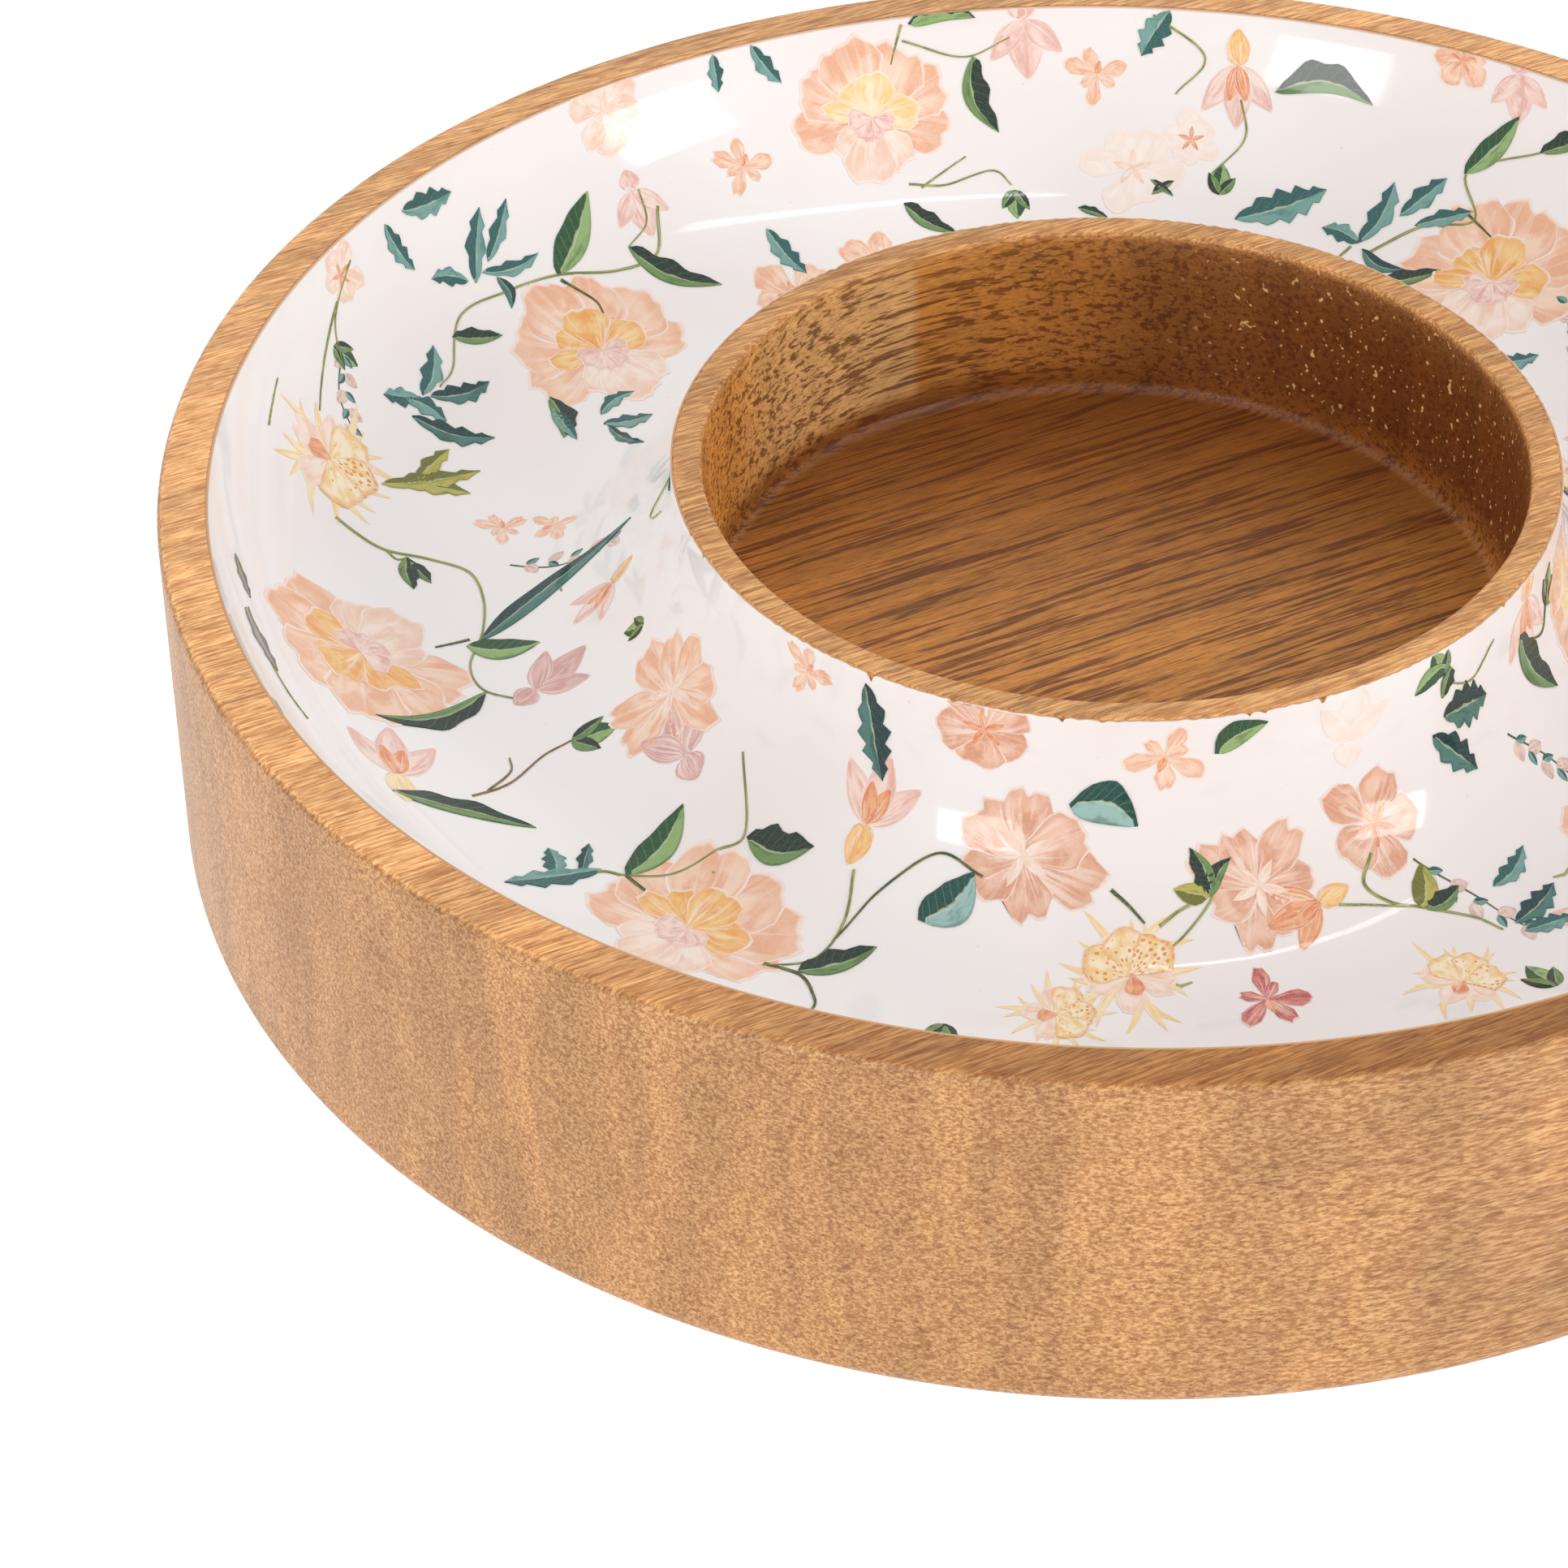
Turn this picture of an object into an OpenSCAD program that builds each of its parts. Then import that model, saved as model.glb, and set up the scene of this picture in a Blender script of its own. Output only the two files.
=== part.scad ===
// Round serving plate for chips and dip, turned from a slab of edge-glued boards.
// A lined ring channel for chips runs round a bare wooden dip cup in the middle.
// Origin: centre of the flat base. +Z is up. Millimetres.

/* [Plate] */
// Outside diameter
plate_d = 300; // [230:1:400]
// Height from the table to the top of the outer rim
plate_h = 61; // [48:1:90]
// Width of the bare wood on top of the outer wall
rim_w = 8; // [5:0.5:14]
// Radius on the outer edge of the rim
rim_ease = 1.4; // [0.4:0.1:3]
// Radius on the bottom outer edge
base_round = 4; // [0.5:0.1:8]

/* [Dip cup] */
// Outside diameter of the cup at its rim
cup_d = 140; // [100:0.5:170]
// Thickness of the cup wall at its rim
cup_wall = 5; // [3:0.25:9]
// How far the cup rim sits below the outer rim
cup_drop = 0; // [0:0.1:12]
// Depth inside the cup, from its own rim to its floor
cup_depth = 31; // [15:0.5:36]
// How much the cup narrows on each side from rim to floor
cup_draft = 0.8; // [0.2:0.1:5]
// Radius where the cup wall meets the floor
cup_cove = 2; // [0.5:0.1:6]
// Radius on the inner edge of the cup rim
cup_ease = 0.9; // [0.3:0.1:1.5]

/* [Chip channel] */
// Depth of the finished channel below the outer rim
channel_depth = 34; // [20:0.5:40]
// Radius from the cup's outer wall into the channel floor
flank_r = 30; // [8:0.5:31]

/* [Lining] */
// Thickness of the white ground coat on the wood
ground_t = 0.3; // [0.2:0.05:1]
// Thickness of the printed film
film_t = 0.15; // [0.15:0.05:0.5]
// Thickness of the clear coat over the film
clear_t = 0.45; // [0.3:0.05:1.5]

/* [Boards] */
// Direction of the wood grain and of the glue lines, degrees from +X
grain_angle = 32; // [0:1:90]
// Distance of the rear glue line from the centre
rear_seam = 46; // [20:1:80]
// Distance of the front glue line from the centre
front_seam = 54; // [20:1:80]

/* [Hidden] */
$fn = 96;

wood_colour = [0.74, 0.52, 0.31];
middle_colour = [0.78, 0.57, 0.36];
ground_colour = [0.97, 0.97, 0.96];
film_colour = [0.96, 0.80, 0.70];
clear_colour = [0.96, 0.93, 0.92];

over = 1; // how far a cutting shape runs past the face it cuts

plate_r = plate_d / 2;
rim_in_r = plate_r - rim_w; // where the lining starts at the outer rim
cup_r = cup_d / 2;
cup_top = plate_h - cup_drop;
cup_in_r = cup_r - cup_wall;
cup_floor = cup_top - cup_depth;
cup_floor_r = cup_in_r - cup_draft;

channel_floor = plate_h - channel_depth;
cup_flank_r = min(flank_r, channel_depth - cup_drop); // no taller than the cup's outer wall
channel_low_r = cup_r + cup_flank_r; // radius of the channel's lowest ring
wall_run = rim_in_r - channel_low_r;
// The outer flank is an arc, level at the lowest ring, that ends at the rim's inner edge.
// Where the channel is deeper than that run, it is a quarter round below an upright wall.
wall_is_steep = wall_run < channel_depth;
wall_r = wall_is_steep ? wall_run : (pow(wall_run, 2) + pow(channel_depth, 2)) / (2 * channel_depth);
wall_rise = wall_is_steep ? wall_run : channel_depth + over; // height of the arc that is used

lining_t = ground_t + film_t + clear_t;

// Corner cutter: what a square of side r has outside the circle that rounds it.
module edge_cut(r) {
  difference() {
    square(r + over);
    circle(r);
  }
}

// Cross-section of the plate before the channel and the cup are hollowed out.
module slab_section() {
  difference() {
    square([plate_r, plate_h]);
    translate([plate_r - rim_ease, plate_h - rim_ease]) edge_cut(rim_ease);
    translate([plate_r - base_round, base_round]) mirror([0, 1]) edge_cut(base_round);
  }
}

// Cross-section of the channel, grown by g into the wood all round. The inner flank
// is a quarter round from the upright cup wall, the outer flank an arc up to the rim.
module channel_section(g) {
  intersection() {
    translate([channel_low_r, channel_floor + cup_flank_r]) circle(cup_flank_r + g);
    translate([cup_r - g, channel_floor - g]) square(cup_flank_r + g);
  }
  translate([cup_r - g, channel_floor + cup_flank_r])
    square([cup_flank_r + g, channel_depth - cup_flank_r + over]);
  intersection() {
    translate([channel_low_r, channel_floor + wall_r]) circle(wall_r + g);
    translate([channel_low_r, channel_floor - g]) square([wall_run + rim_w / 2, wall_rise + g]);
  }
  if (wall_is_steep)
    translate([channel_low_r, channel_floor + wall_r])
      square([wall_run + g, channel_depth - wall_r + over]);
}

// Cross-section of the hollow in the dip cup, with its cove and its eased rim.
module cup_section() {
  lean = atan(cup_draft / cup_depth);
  cove_run = cup_cove / tan(45 + lean / 2);
  ease_run = cup_ease / tan(45 + lean / 2);
  // tangent points of the cove and of the eased edge on the sloping wall
  cove_top = [cup_floor_r + cove_run * sin(lean), cup_floor + cove_run * cos(lean)];
  ease_low = [cup_in_r - ease_run * sin(lean), cup_top - ease_run * cos(lean)];
  polygon([
    [0, cup_floor], [cup_floor_r - cove_run, cup_floor], cove_top,
    [cup_in_r, cup_top], [cup_in_r, cup_top + over], [0, cup_top + over]
  ]);
  translate([cup_floor_r - cove_run, cup_floor + cup_cove]) circle(cup_cove);
  difference() {
    polygon([
      ease_low, [cup_in_r + ease_run, cup_top], [cup_in_r + ease_run, cup_top + over],
      [cup_in_r, cup_top + over]
    ]);
    translate([cup_in_r + ease_run, cup_top - cup_ease]) circle(cup_ease);
  }
}

// Everything above the cup's own rim is cut away inside the channel.
module above_cup_section() {
  translate([0, cup_top]) square([channel_low_r, plate_h - cup_top + over]);
}

// The whole turned plate in wood, hollowed for the lining.
module turned_plate() {
  rotate_extrude()
    difference() {
      slab_section();
      above_cup_section();
      channel_section(lining_t);
      cup_section();
    }
}

// One board: the part of the turned plate that lies between two upright planes
// along the grain, at distances low and high from the centre.
module board(low, high) {
  intersection() {
    turned_plate();
    rotate([0, 0, grain_angle])
      translate([-plate_r - over, low, -over])
        cube([plate_d + 2 * over, high - low, plate_h + 2 * over]);
  }
}

// One skin of the lining: from depth g_in below the finished surface to depth g_out.
module skin(g_in, g_out) {
  rotate_extrude()
    intersection() {
      difference() {
        channel_section(g_out);
        channel_section(g_in);
      }
      union() {
        square([channel_low_r, cup_top]);
        translate([channel_low_r, 0]) square([plate_r - channel_low_r, plate_h]);
      }
    }
}

module front_board() { color(wood_colour) board(-plate_r - over, -front_seam); }
module middle_board() { color(middle_colour) board(-front_seam, rear_seam); }
module rear_board() { color(wood_colour) board(rear_seam, plate_r + over); }
module ground_coat() { color(ground_colour) skin(clear_t + film_t, lining_t); }
module printed_film() { color(film_colour) skin(clear_t, clear_t + film_t); }
module clear_coat() { color(clear_colour) skin(0, clear_t); }

front_board();
middle_board();
rear_board();
ground_coat();
printed_film();
clear_coat();
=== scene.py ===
# Chip and dip server: a turned wooden plate whose chip channel is lined in white and printed with flowers.
# Metres, in the part's own frame: z = 0 is the table, +z is up, the turning axis is x = y = 0.
import math
import bpy
import bmesh
import numpy as np
from mathutils import Matrix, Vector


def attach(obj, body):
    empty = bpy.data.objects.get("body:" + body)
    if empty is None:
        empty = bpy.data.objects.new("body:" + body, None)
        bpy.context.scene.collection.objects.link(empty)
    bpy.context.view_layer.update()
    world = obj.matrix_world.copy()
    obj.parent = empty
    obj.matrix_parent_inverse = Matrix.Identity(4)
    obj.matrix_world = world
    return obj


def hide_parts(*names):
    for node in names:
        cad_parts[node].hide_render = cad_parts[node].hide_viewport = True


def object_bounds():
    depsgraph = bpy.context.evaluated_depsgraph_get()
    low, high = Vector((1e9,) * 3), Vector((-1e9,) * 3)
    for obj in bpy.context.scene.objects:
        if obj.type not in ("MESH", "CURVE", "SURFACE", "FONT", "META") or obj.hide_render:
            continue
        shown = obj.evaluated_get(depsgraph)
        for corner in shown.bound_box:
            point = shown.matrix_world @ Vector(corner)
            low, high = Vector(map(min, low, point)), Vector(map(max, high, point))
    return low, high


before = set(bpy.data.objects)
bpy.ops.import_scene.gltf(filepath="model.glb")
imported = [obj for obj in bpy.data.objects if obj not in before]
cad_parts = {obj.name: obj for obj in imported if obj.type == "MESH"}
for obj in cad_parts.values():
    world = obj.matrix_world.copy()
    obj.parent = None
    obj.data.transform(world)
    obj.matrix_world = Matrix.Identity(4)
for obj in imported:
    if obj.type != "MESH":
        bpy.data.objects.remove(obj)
cadLow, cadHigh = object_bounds()
mm = 0.001
print("frame loaded")

# The plate's own sizes; radius and height come from the frame.
plate = {
    "radius": cadHigh.x, "height": cadHigh.z,
    "rimWidth": 8 * mm, "rimEase": 1.4 * mm, "baseRound": 4 * mm,
    "cupRadius": 70 * mm, "cupWall": 5 * mm, "cupDepth": 31 * mm, "cupDraft": 0.8 * mm,
    "cupCove": 2 * mm, "cupEase": 0.9 * mm,
    "channelDepth": 34 * mm, "flankRadius": 30 * mm, "lining": 0.45 * mm,
    "grain": math.radians(32), "rearSeam": 46 * mm, "frontSeam": 54 * mm,
    "columns": 361,
}
plate["rimIn"] = plate["radius"] - plate["rimWidth"]
plate["cupIn"] = plate["cupRadius"] - plate["cupWall"]
plate["cupFloor"] = plate["height"] - plate["cupDepth"]
plate["lowR"] = plate["cupRadius"] + plate["flankRadius"]
plate["lowZ"] = plate["height"] - plate["channelDepth"]
run = plate["rimIn"] - plate["lowR"]
plate["outerR"] = (run ** 2 + plate["channelDepth"] ** 2) / (2 * plate["channelDepth"])
grainDir = np.array([math.cos(plate["grain"]), math.sin(plate["grain"]), 0.0])
crossDir = np.array([-math.sin(plate["grain"]), math.cos(plate["grain"]), 0.0])

# How far the channel's profile runs from its lowest ring: negative to the cup, positive to the rim.
tFlank = -plate["flankRadius"] * math.pi / 2
tCup = tFlank - (plate["channelDepth"] - plate["flankRadius"])
tRim = plate["outerR"] * math.acos(1 - plate["channelDepth"] / plate["outerR"])


# Channel surface: (angle, t, lift) -> point. t is the length along the profile from the lowest ring,
# a quarter round to the cup's upright wall and an arc to the rim; lift is out of the lining, along its normal.
def onChannel(angle, t, lift=0.0):
    outer = np.clip(t / plate["outerR"], 0, math.pi / 2)
    inner = np.clip(-t / plate["flankRadius"], 0, math.pi / 2)
    upright = np.clip(tFlank - t, 0, None)
    slopeR = -np.sin(outer) + np.sin(inner)
    slopeZ = np.cos(outer) * (t >= 0) + np.cos(inner) * (t < 0)
    r = plate["lowR"] + plate["outerR"] * np.sin(outer) - plate["flankRadius"] * np.sin(inner)
    z = plate["lowZ"] + plate["outerR"] * (1 - np.cos(outer)) + plate["flankRadius"] * (1 - np.cos(inner)) + upright
    r = r + lift * slopeR
    z = z + lift * slopeZ
    return np.stack([r * np.cos(angle), r * np.sin(angle), z], -1)


# Mesh from a grid of points (rows, columns, 3); faces run row to row, and round the columns if closed.
def gridFaces(rows, columns, closed=False, first=0):
    i, j = np.meshgrid(np.arange(rows - 1), np.arange(columns if closed else columns - 1), indexing="ij")
    k = (j + 1) % columns
    quads = np.stack([i * columns + j, i * columns + k, (i + 1) * columns + k, (i + 1) * columns + j], -1)
    return quads.reshape(-1, 4) + first


def finishPiece(name, mesh, material, sharpAngle=35, merge=1e-6):
    work = bmesh.new()
    work.from_mesh(mesh)
    bmesh.ops.remove_doubles(work, verts=work.verts, dist=merge)
    bmesh.ops.dissolve_degenerate(work, edges=work.edges, dist=merge / 10)
    work.to_mesh(mesh)
    work.free()
    mesh.shade_smooth()
    mesh.set_sharp_from_angle(angle=math.radians(sharpAngle))
    mesh.materials.append(material)
    piece = bpy.data.objects.new(name, mesh)
    bpy.context.scene.collection.objects.link(piece)
    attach(piece, "root")
    return piece


def makePiece(name, points, faces, material, sharpAngle=35):
    mesh = bpy.data.meshes.new(name)
    mesh.from_pydata(points.reshape(-1, 3).tolist(), [], faces)
    return finishPiece(name, mesh, material, sharpAngle)


# Adds one node and joins or sets its sockets: a socket is linked, anything else is a fixed value.
def addNode(material, kind, sockets=None, **settings):
    node = material.node_tree.nodes.new(kind)
    for key, value in settings.items():
        setattr(node, key, value)
    for key, value in (sockets or {}).items():
        if isinstance(value, bpy.types.NodeSocket):
            material.node_tree.links.new(value, node.inputs[key])
        else:
            node.inputs[key].default_value = value
    return node


def newMaterial(name):
    material = bpy.data.materials.new(name)
    material.use_nodes = True
    material.node_tree.nodes.clear()
    return material


def finishMaterial(material, **sockets):
    names = {"color": "Base Color", "roughness": "Roughness", "normal": "Normal", "coat": "Coat Weight",
             "coatRoughness": "Coat Roughness", "specular": "Specular IOR Level", "ior": "IOR"}
    shader = addNode(material, "ShaderNodeBsdfPrincipled", {names[k]: v for k, v in sockets.items()})
    addNode(material, "ShaderNodeOutputMaterial", {"Surface": shader.outputs[0]})


def mathNode(material, operation, a, b=0.0, c=0.0, clamp=False):
    node = addNode(material, "ShaderNodeMath", operation=operation, use_clamp=clamp)
    for index, value in enumerate((a, b, c)):
        if isinstance(value, bpy.types.NodeSocket):
            material.node_tree.links.new(value, node.inputs[index])
        else:
            node.inputs[index].default_value = value
    return node.outputs[0]


def noise(material, vector, scale, detail=2.0, roughness=0.5, distortion=0.0):
    return addNode(material, "ShaderNodeTexNoise", {
        "Vector": vector, "Scale": scale, "Detail": detail, "Roughness": roughness,
        "Distortion": distortion}).outputs[0]


def ramp(material, value, low, high, outLow=0.0, outHigh=1.0):
    return addNode(material, "ShaderNodeMapRange", {
        "Value": value, "From Min": low, "From Max": high, "To Min": outLow, "To Max": outHigh},
        interpolation_type="SMOOTHSTEP").outputs[0]


def mixColor(material, factor, a, b, blend="MIX"):
    node = addNode(material, "ShaderNodeMix", data_type="RGBA", blend_type=blend)
    for index, value in ((0, factor), (6, a), (7, b)):
        if isinstance(value, bpy.types.NodeSocket):
            material.node_tree.links.new(value, node.inputs[index])
        else:
            node.inputs[index].default_value = value
    return node.outputs[2]


# sRGB numbers from 0 to 255 -> linear colour
def paint(red, green, blue):
    c = np.array([red, green, blue]) / 255
    c = np.where(c <= 0.04045, c / 12.92, ((c + 0.055) / 1.055) ** 2.4)
    return (float(c[0]), float(c[1]), float(c[2]), 1.0)


# Satin mango wood. In the grain's own axes (along, across, up): fibres are noise stretched along the grain,
# streaks are longer noise kept only at its peaks, pores a finer one, and rings are slanted bands across it.
wood = {
    "pale": paint(210, 161, 107), "tan": paint(166, 111, 64), "brown": paint(124, 72, 34),
    # the cup's floor and wall colours are lit and shaded pairs of the heartwood: painted light and painted shade
    "pore": paint(108, 62, 30), "cupFloorLit": paint(228, 154, 70), "cupFloorShaded": paint(146, 86, 30),
    "cupWallLit": paint(246, 170, 82), "cupWallShaded": paint(124, 70, 26),
    # the pale block colour is paler wood with a painted patch of key light on it
    "cupStreak": paint(92, 42, 16), "speck": paint(236, 200, 136), "paleAndLitBlock": paint(246, 200, 136),
    # painted light: gains for upward faces, brighter at the rim's left, darker in front, brighter on the cup's lip
    "topPaintedLight": (1.75, 1.80, 1.85, 1), "topPaintedShade": (0.78, 0.62, 0.38, 1), "lip": (1.28, 1.25, 1.12, 1),
    "roughness": 0.38, "cupRoughness": 0.30, "poreDepth": 0.00012,
}


def boardMaterial(name, shift, warmth, paleAndLitBlockAmount):
    m = newMaterial(name)
    place = addNode(m, "ShaderNodeTexCoord").outputs["Object"]
    turned = addNode(m, "ShaderNodeMapping", {
        "Vector": place, "Rotation": (0, 0, -plate["grain"]), "Scale": (1000, 1000, 1000)},
        vector_type="POINT").outputs[0]
    moved = addNode(m, "ShaderNodeVectorMath", {0: turned, 1: shift}, operation="ADD").outputs[0]

    def stretched(along, across, up=None):
        return addNode(m, "ShaderNodeVectorMath", {0: moved, 1: (1 / along, 1 / across, 1 / (up or across))},
                       operation="MULTIPLY").outputs[0]

    def towards(x, y, z, source=place):
        return addNode(m, "ShaderNodeVectorMath", {0: source, 1: (x, y, z)}, operation="DOT_PRODUCT").outputs["Value"]

    fibres = noise(m, stretched(7, 0.50), 1.0, 3, 0.7, 0.1)
    streaks = noise(m, stretched(24, 0.95), 1.0, 3, 0.64, 0.25)
    pores = noise(m, stretched(3.4, 0.36), 1.0, 2, 0.6)
    slant = addNode(m, "ShaderNodeMapping", {"Vector": moved, "Rotation": (math.radians(34), 0, 0),
                                             "Scale": (1 / 150, 1 / 8, 1 / 60)}, vector_type="POINT").outputs[0]
    rings = noise(m, slant, 1.0, 3, 0.55, 0.4)
    ripple = noise(m, stretched(6, 26, 14), 1.0, 2, 0.5, 0.6)
    color = mixColor(m, ramp(m, fibres, 0.36, 0.62), wood["pale"], wood["tan"])
    color = mixColor(m, mathNode(m, "MULTIPLY", ramp(m, streaks, 0.52, 0.66), 0.50), color, wood["brown"])
    # inside the cup: darker wood with painted light, the floor painted paler at the front as a painted reflection and
    # darker at the back as painted shade, the wall painted lit on the left and shaded on the right, one pale block of
    # paler wood with a painted patch of key light, and specks on the far right
    parts = addNode(m, "ShaderNodeSeparateXYZ", {"Vector": place})
    along = towards(1, 0, 0, turned)
    across = towards(0, 1, 0, turned)
    radius = addNode(m, "ShaderNodeVectorMath", {0: place, 1: (1, 1, 0)}, operation="MULTIPLY").outputs[0]
    radius = addNode(m, "ShaderNodeVectorMath", {0: radius}, operation="LENGTH").outputs["Value"]
    inCup = mathNode(m, "MULTIPLY", ramp(m, radius, plate["cupIn"] + 0.5 * mm, plate["cupIn"] - 0.3 * mm),
                     ramp(m, parts.outputs[2], plate["height"] - 0.2 * mm, plate["height"] - 2.0 * mm))
    onWall = ramp(m, parts.outputs[2], plate["cupFloor"] + 2 * mm, plate["cupFloor"] + 7 * mm)
    # painted reflection and shade: the floor is paler towards the front and darker towards the back
    heart = mixColor(m, ramp(m, towards(0, -14, 0), -0.80, 0.55), wood["cupFloorShaded"], wood["cupFloorLit"])
    # painted light and shade: the wall is painted lit on the left and shaded on the right
    wall = mixColor(m, ramp(m, towards(-13, -5, 0), -0.80, 0.65), wood["cupWallShaded"], wood["cupWallLit"])
    heart = mixColor(m, onWall, heart, wall)
    # pale block on the back-left wall: paler wood with a painted patch of key light
    paleAndLitBlock = mathNode(m, "MULTIPLY", ramp(m, along, 1.2, -1.2), ramp(m, across, 46, 60, 0, paleAndLitBlockAmount))
    heart = mixColor(m, mathNode(m, "MULTIPLY", paleAndLitBlock, onWall), heart, wood["paleAndLitBlock"])
    heart = mixColor(m, ramp(m, fibres, 0.36, 0.64, 0.0, 0.26), heart, wood["cupStreak"])
    heart = mixColor(m, mathNode(m, "MULTIPLY", ramp(m, streaks, 0.49, 0.60), 0.78), heart, wood["cupStreak"])
    specks = ramp(m, noise(m, stretched(1.6, 1.2), 1.0, 1, 0.5), 0.66, 0.72)
    specks = mathNode(m, "MULTIPLY", specks, ramp(m, towards(11, 9, 0), 0.60, 0.84, 0.0, 0.9))
    heart = mixColor(m, mathNode(m, "MULTIPLY", specks, onWall), heart, wood["speck"])
    color = mixColor(m, inCup, color, heart)
    poreMask = mathNode(m, "MULTIPLY", ramp(m, pores, 0.54, 0.68), 0.50)
    color = mixColor(m, poreMask, color, wood["pore"])
    # painted light on the upward faces: the rim's top is painted brighter at the left and darker in the front board,
    # and the cup's lip is painted a little brighter
    normal = addNode(m, "ShaderNodeNewGeometry").outputs["Normal"]
    up = ramp(m, towards(0, 0, 1, normal), 0.6, 0.95)
    topPaintedLightGain = mixColor(m, ramp(m, across, -20, -150), wood["topPaintedLight"], wood["topPaintedShade"])
    topPaintedLightGain = mixColor(m, ramp(m, across, 80, 140, 0, 0.4), topPaintedLightGain, (1, 1, 1, 1))
    topPaintedLightGain = mixColor(m, ramp(m, radius, 0.13, 0.12), topPaintedLightGain, wood["lip"])
    # the painted lip light also covers the top few mm of the cup's outer flank
    lip = mathNode(m, "MULTIPLY", ramp(m, parts.outputs[2], plate["height"] - 4 * mm, plate["height"] - 3 * mm),
                   ramp(m, radius, 0.074, 0.073))
    # the painted light falls on upward faces and the lip, never inside the cup
    up = mathNode(m, "MULTIPLY", mathNode(m, "MAXIMUM", up, lip), mathNode(m, "SUBTRACT", 1.0, inCup))
    topPaintedLightGain = mixColor(m, up, (1, 1, 1, 1), topPaintedLightGain)
    shade = mathNode(m, "MULTIPLY", ramp(m, ripple, 0.3, 0.7, 0.95, 1.05), ramp(m, rings, 0.36, 0.64, 1.12, 0.89))
    color = addNode(m, "ShaderNodeVectorMath", {0: color, "Scale": mathNode(m, "MULTIPLY", shade, warmth)},
                    operation="SCALE").outputs[0]
    color = addNode(m, "ShaderNodeVectorMath", {0: color, 1: topPaintedLightGain}, operation="MULTIPLY").outputs[0]
    bump = addNode(m, "ShaderNodeBump", {"Height": mathNode(m, "SUBTRACT", 1.0, poreMask),
                                         "Strength": 0.5, "Distance": wood["poreDepth"]})
    rough = ramp(m, fibres, 0.3, 0.7, wood["roughness"] - 0.05, wood["roughness"] + 0.08)
    finishMaterial(m, color=color, roughness=rough, normal=bump.outputs[0], specular=0.4)
    return m


# Cross-section of the turned wood from the axis, over the cup and channel, down to the base and back.
# Straight runs, coves and arcs are joined point by point; extra is radii that need a point of their own.
def woodProfile(extra):
    g = plate["lining"]
    top, lean = plate["height"], math.atan(plate["cupDraft"] / plate["cupDepth"])
    coveRun = plate["cupCove"] / math.tan(math.pi / 4 + lean / 2)
    easeRun = plate["cupEase"] / math.tan(math.pi / 4 + lean / 2)
    floorR = plate["cupIn"] - plate["cupDraft"]

    def arc(r, z, size, start, end, count):
        a = np.radians(np.linspace(start, end, count))
        return np.stack([r + size * np.cos(a), z + size * np.sin(a)], -1)

    def line(a, b, count):
        return np.linspace(a, b, count + 1)[:-1]

    leanDeg = math.degrees(lean)
    floorEnd = floorR - coveRun
    floor = np.array([[r, plate["cupFloor"]] for r in sorted([0, 20 * mm, 35 * mm, 58 * mm] + list(extra))])
    cove = arc(floorEnd, plate["cupFloor"] + plate["cupCove"], plate["cupCove"], -90, -leanDeg, 9)
    ease = arc(plate["cupIn"] + easeRun, top - plate["cupEase"], plate["cupEase"], 180 - leanDeg, 90, 7)
    wallRows = line(cove[-1], ease[0], 8)[1:]
    lip = np.array([[plate["cupRadius"] - g - 0.25 * mm, top], [plate["cupRadius"] - g, top - 0.25 * mm]])
    flankZ = plate["lowZ"] + plate["flankRadius"]
    inner = arc(plate["lowR"], flankZ, plate["flankRadius"] + g, 180, 270, 40)
    limit = math.degrees(math.acos((plate["outerR"] - plate["channelDepth"]) / (plate["outerR"] + g)))
    outer = arc(plate["lowR"], plate["lowZ"] + plate["outerR"], plate["outerR"] + g, -90, -90 + limit, 50)[1:]
    ease2 = arc(plate["radius"] - plate["rimEase"], top - plate["rimEase"], plate["rimEase"], 90, 0, 9)
    base = arc(plate["radius"] - plate["baseRound"], plate["baseRound"], plate["baseRound"], 0, -90, 13)
    side = line(ease2[-1], base[0], 14)[1:]
    under = np.array([[r, 0.0] for r in sorted([0, 25 * mm, 90 * mm, 120 * mm] + list(extra), reverse=True)])
    return np.concatenate([floor, cove, wallRows, ease, lip, inner, outer, ease2, side, base, under])


# One board: at each profile point of radius r, the right half runs from asin(low / r) to asin(high / r)
# about the grain's axes, and the left half is its mirror. Each glue face is one flat face between the two.
def board(name, low, high, material):
    reach = max(0.0, low, -high)
    profile = woodProfile([abs(s) for s in (low, high) if abs(s) < plate["radius"]])
    profile = profile[profile[:, 0] >= reach - 1e-9]
    r, z = profile[:, 0:1], profile[:, 1:2]
    safe = np.maximum(r, 1e-9)
    start, end = np.arcsin(np.clip(low / safe, -1, 1)), np.arcsin(np.clip(high / safe, -1, 1))
    angle = start + (end - start) * np.linspace(0, 1, plate["columns"] // 2 + 1)[None, :]
    along, across = r * np.cos(angle), r * np.sin(angle)
    rows, columns = angle.shape
    right = along[..., None] * grainDir + across[..., None] * crossDir + (z + 0 * angle)[..., None] * [0, 0, 1]
    left = -along[..., None] * grainDir + across[..., None] * crossDir + (z + 0 * angle)[..., None] * [0, 0, 1]
    points = np.concatenate([right.reshape(-1, 3), left.reshape(-1, 3)])
    quads = gridFaces(rows, columns)
    faces = quads[:, ::-1].tolist() + (quads + rows * columns).tolist()
    index = np.arange(rows) * columns
    for seam, column, turn in ((low, 0, -1), (high, columns - 1, 1)):
        if abs(seam) < plate["radius"]:
            ring = index[profile[:, 0] >= abs(seam) - 1e-9] + column
            loop = np.concatenate([ring, ring[-2:0:-1] + rows * columns])
            faces.append(loop[::turn].tolist())
    return makePiece(name, points, faces, material)


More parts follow.
